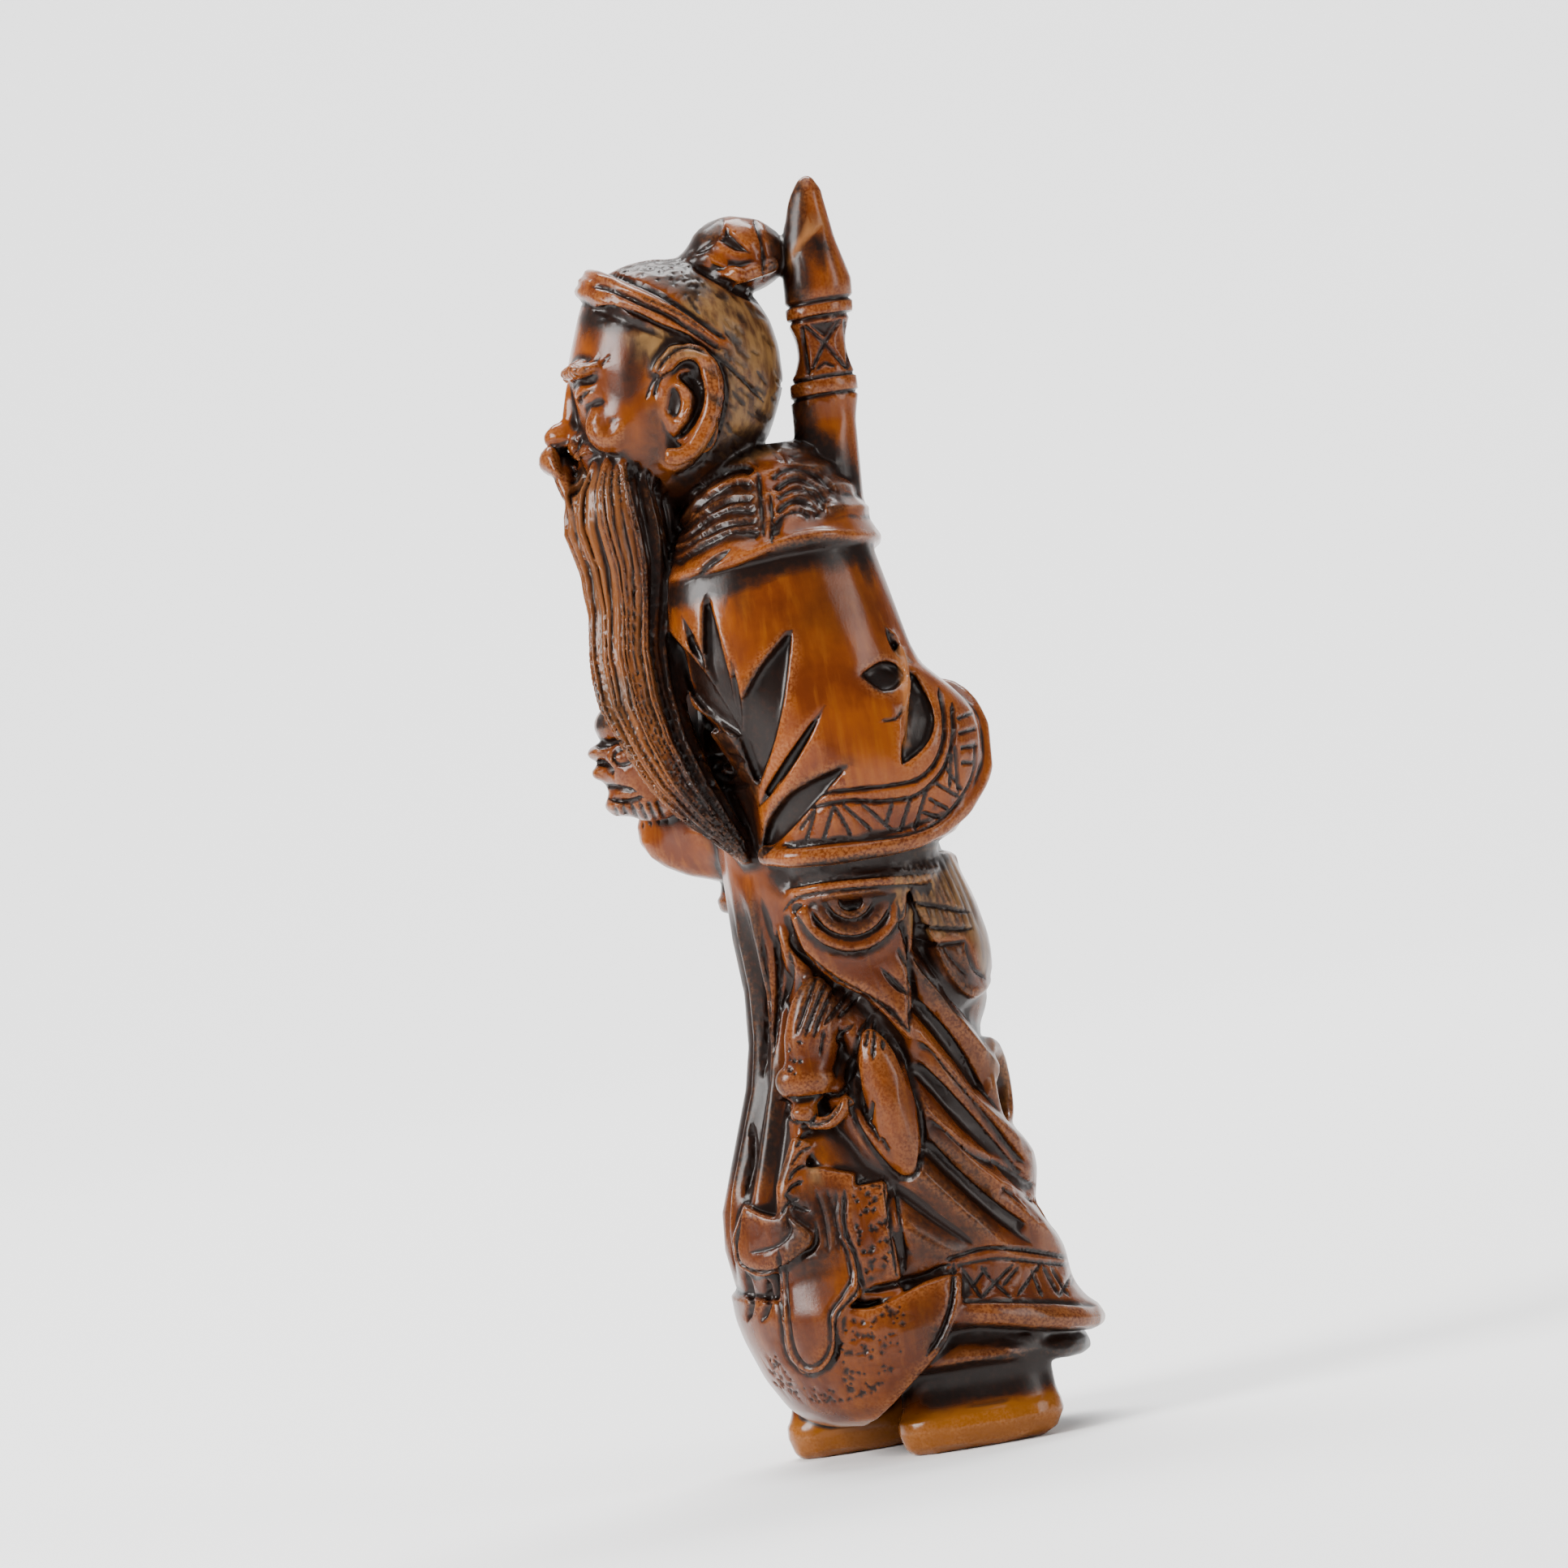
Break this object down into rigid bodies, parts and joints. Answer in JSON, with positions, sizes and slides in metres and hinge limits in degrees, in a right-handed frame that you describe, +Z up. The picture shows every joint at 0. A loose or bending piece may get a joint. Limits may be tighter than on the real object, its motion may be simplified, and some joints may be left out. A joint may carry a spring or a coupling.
{
  "type": "netsuke",
  "caption": "Carved wooden netsuke of a standing bearded sage in long robes with a sword on the back, and a cord channel behind.",
  "frame": {"origin": "on the ground plane, below the middle of the figure's box", "axes": "+Z up from the soles to the sword's pommel, -X the way the figure faces, -Y its left side"},
  "size_m": [0.0204, 0.0164, 0.062],
  "materials": {
    "stained_wood": "stained, hand-polished and worn"
  },
  "bodies": {
    "root": {"netsuke": "stained_wood"}
  },
  "joints": []
}
